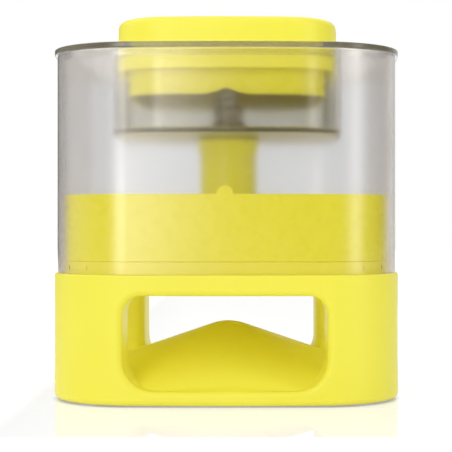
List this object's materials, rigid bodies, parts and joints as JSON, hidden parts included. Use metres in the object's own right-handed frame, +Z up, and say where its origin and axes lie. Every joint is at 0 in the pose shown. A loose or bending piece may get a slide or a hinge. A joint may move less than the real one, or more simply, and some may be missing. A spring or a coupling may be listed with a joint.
{
  "type": "treat dispenser",
  "caption": "Push-button treat dispenser for dogs: clear tank over a funnel, sprung valve and cone in a base with mouths on every side.",
  "frame": {"origin": "on the floor, under the middle of the base", "axes": "+Z up, -Y towards the front as pictured, +X to the right"},
  "size_m": [0.13, 0.13, 0.1407],
  "materials": {
    "yellow_shell": "satin moulded plastic",
    "yellow_inner": "moulded plastic",
    "smoke_clear": "polished clear plastic with a light smoke tint",
    "white_plastic": "natural slippery plastic",
    "foot_rubber": "soft matte rubber",
    "steel": "bright zinc-plated steel",
    "spring_steel": "drawn spring wire"
  },
  "bodies": {
    "base": {"base_shell": "yellow_shell", "bottom_cover": "yellow_inner", "cover_screws": "steel", "foot_front_left": "foot_rubber", "foot_front_right": "foot_rubber", "foot_rear_left": "foot_rubber", "foot_rear_right": "foot_rubber", "tank": "smoke_clear", "hopper": "yellow_inner", "hopper_screws": "steel", "guide_tube": "yellow_inner", "rod_bush": "white_plastic", "rod_spring": "spring_steel"},
    "lid": {"lid": "smoke_clear", "button_spring": "spring_steel"},
    "button": {"button_cap": "yellow_shell", "button_frame": "yellow_inner", "button_screws": "steel", "button_stem": "white_plastic", "stem_washer": "steel", "stem_screw": "steel"},
    "valve": {"push_rod": "white_plastic", "valve_head": "yellow_inner", "valve_screw": "steel"}
  },
  "joints": [
    {"name": "lid_lift", "type": "slide", "parent": "base", "child": "lid", "axis": [0, 0, 1], "range_m": [0, 0.045]},
    {"name": "button_press", "type": "slide", "parent": "lid", "child": "button", "axis": [0, 0, 1], "range_m": [-0.008, 0], "stiffness_N_per_m": 400, "springref_m": 0.006, "deforming": ["button_spring"]},
    {"name": "valve_drop", "type": "slide", "parent": "base", "child": "valve", "axis": [0, 0, 1], "range_m": [-0.008, 0], "stiffness_N_per_m": 250, "springref_m": 0.006, "deforming": ["rod_spring"]}
  ],
  "couplings": [
    {"joint": "valve_drop", "follows": "button_press", "ratio": 1}
  ]
}
